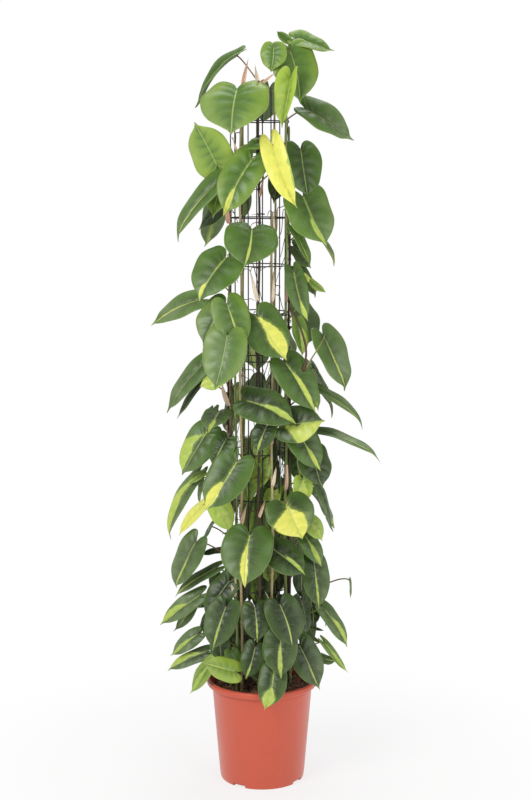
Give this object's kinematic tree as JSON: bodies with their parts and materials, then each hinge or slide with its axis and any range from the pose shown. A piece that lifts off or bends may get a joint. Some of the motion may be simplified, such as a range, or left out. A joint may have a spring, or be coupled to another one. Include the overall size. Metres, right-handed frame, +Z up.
{
  "type": "potted brasil philodendron",
  "caption": "Tall climbing house plant with heart-shaped, yellow-streaked leaves, tied to a black wire-mesh column in a terracotta-coloured grower's pot.",
  "frame": {"origin": "centre of the pot's foot, on the surface it stands on", "axes": "+Z up along the column, -Y towards the side that the picture shows, +X to the viewer's right"},
  "size_m": [0.4816, 0.2971, 1.5951],
  "materials": {
    "pot": "satin moulded plastic, terracotta colour",
    "soil": "loose dark peat with fibres",
    "wire": "black coated wire",
    "tie": "matt black soft tie",
    "leaf": "waxy leaf, satin, dark green with lime and yellow streaks",
    "stem": "green to tan stem with a waxy skin",
    "sheath": "dry papery sheath, cream to pink-tan"
  },
  "bodies": {
    "root": {"pot": "pot", "soil": "soil", "wire_column": "wire", "tie_1": "tie", "tie_2": "tie", "tie_3": "tie", "tie_4": "tie", "tie_5": "tie", "vine_01": "leaf", "vine_02": "leaf", "vine_03": "leaf", "vine_04": "leaf", "vine_05": "leaf", "vine_06": "leaf", "vine_07": "leaf", "vine_08": "leaf", "vine_09": "leaf", "vine_10": "leaf", "vine_11": "leaf", "vine_12": "leaf", "vine_13": "leaf", "vine_14": "leaf"}
  },
  "joints": []
}
